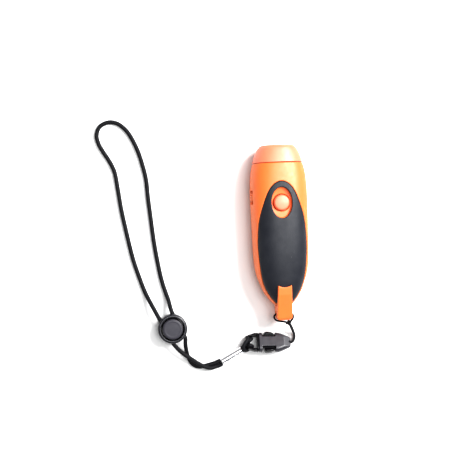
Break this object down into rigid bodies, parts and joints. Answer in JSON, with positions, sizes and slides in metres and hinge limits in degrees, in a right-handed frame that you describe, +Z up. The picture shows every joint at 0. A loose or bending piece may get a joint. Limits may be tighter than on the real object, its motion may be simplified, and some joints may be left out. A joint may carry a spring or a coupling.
{
  "type": "training whistle",
  "caption": "Electronic hand whistle with a push button, grip pad and horn, on a black wrist cord with a side-release buckle, crimped ferrule and sliding cord lock.",
  "frame": {"origin": "under the middle of the whistle's case, on the surface that it lies on", "axes": "+Y along the case to the horn, +X to the right seen from the button side, +Z up, out of the button side"},
  "size_m": [0.1374, 0.168, 0.0284],
  "materials": {
    "orange_case": "satin moulded ABS",
    "light_orange": "satin moulded ABS, a shade lighter",
    "soft_grip": "matt soft-touch charcoal",
    "black_plastic": "fine matt",
    "brass_disc": "dull",
    "switch_plastic": "matt",
    "plated_steel": "plated",
    "board": "solder resist",
    "copper_winding": "enamelled wire",
    "cell_jacket": "printed jacket",
    "braid": "braided polyester",
    "ferrule_metal": "bright",
    "buckle_plastic": "satin acetal",
    "lock_plastic": "satin"
  },
  "bodies": {
    "whistle": {"front_shell": "orange_case", "back_shell": "orange_case", "horn_cap": "light_orange", "horn_funnel": "black_plastic", "horn_grille": "black_plastic", "driver_housing": "black_plastic", "piezo_element": "brass_disc", "grip_pad": "soft_grip", "lanyard_loop": "orange_case", "tact_switch": "switch_plastic", "slide_switch": "plated_steel", "circuit_board": "board", "control_chip": "black_plastic", "boost_coil": "copper_winding", "capacitor": "black_plastic", "battery_cell_left": "cell_jacket", "battery_cell_right": "cell_jacket", "contact_plate_front": "plated_steel", "contact_plate_rear": "plated_steel", "contact_spring_rear": "plated_steel", "contact_spring_front": "plated_steel", "case_screw_left": "plated_steel", "case_screw_right": "plated_steel", "case_screw_tail": "plated_steel", "strap_cord": "braid", "buckle_socket": "buckle_plastic", "buckle_plug": "buckle_plastic", "cord_hitch": "braid", "ferrule": "ferrule_metal", "wrist_cord": "braid"},
    "button": {"push_button": "light_orange", "switch_plunger": "black_plastic"},
    "tone": {"tone_slider": "orange_case"},
    "door": {"battery_door": "orange_case"},
    "prong_left": {"buckle_prong_left": "buckle_plastic"},
    "prong_right": {"buckle_prong_right": "buckle_plastic"},
    "lock": {"cord_lock_body": "lock_plastic", "cord_lock_spring": "plated_steel"},
    "lock_button": {"cord_lock_plunger": "lock_plastic"}
  },
  "joints": [
    {"name": "button_press", "type": "slide", "parent": "whistle", "child": "button", "axis": [0, 0, -1], "range_m": [0, 0.0008], "stiffness_N_per_m": 150, "springref_m": -0.002},
    {"name": "tone_select", "type": "slide", "parent": "whistle", "child": "tone", "axis": [0, 1, 0], "range_m": [-0.0016, 0.0016]},
    {"name": "door_lift", "type": "slide", "parent": "whistle", "child": "door", "axis": [0, 0, -1], "range_m": [0, 0.02]},
    {"name": "prong_left_squeeze", "type": "hinge", "parent": "whistle", "child": "prong_left", "pos_m": [-0.01694, -0.06906, 0.00298], "axis": [-0.024, -0.4788, -0.8776], "range_deg": [0, 6], "stiffness_Nm_per_rad": 0.001, "springref_deg": -8.59},
    {"name": "prong_right_squeeze", "type": "hinge", "parent": "whistle", "child": "prong_right", "pos_m": [-0.01728, -0.07589, 0.00672], "axis": [0.024, 0.4788, 0.8776], "range_deg": [0, 6], "stiffness_Nm_per_rad": 0.001, "springref_deg": -8.59},
    {"name": "lock_slide", "type": "slide", "parent": "whistle", "child": "lock", "axis": [-0.4591, 0.8884, 0], "range_m": [-0.001, 0.001]},
    {"name": "lock_press", "type": "slide", "parent": "lock", "child": "lock_button", "axis": [0, 0, -1], "range_m": [0, 0.002], "stiffness_N_per_m": 200, "springref_m": -0.004, "deforming": ["cord_lock_spring"]}
  ]
}
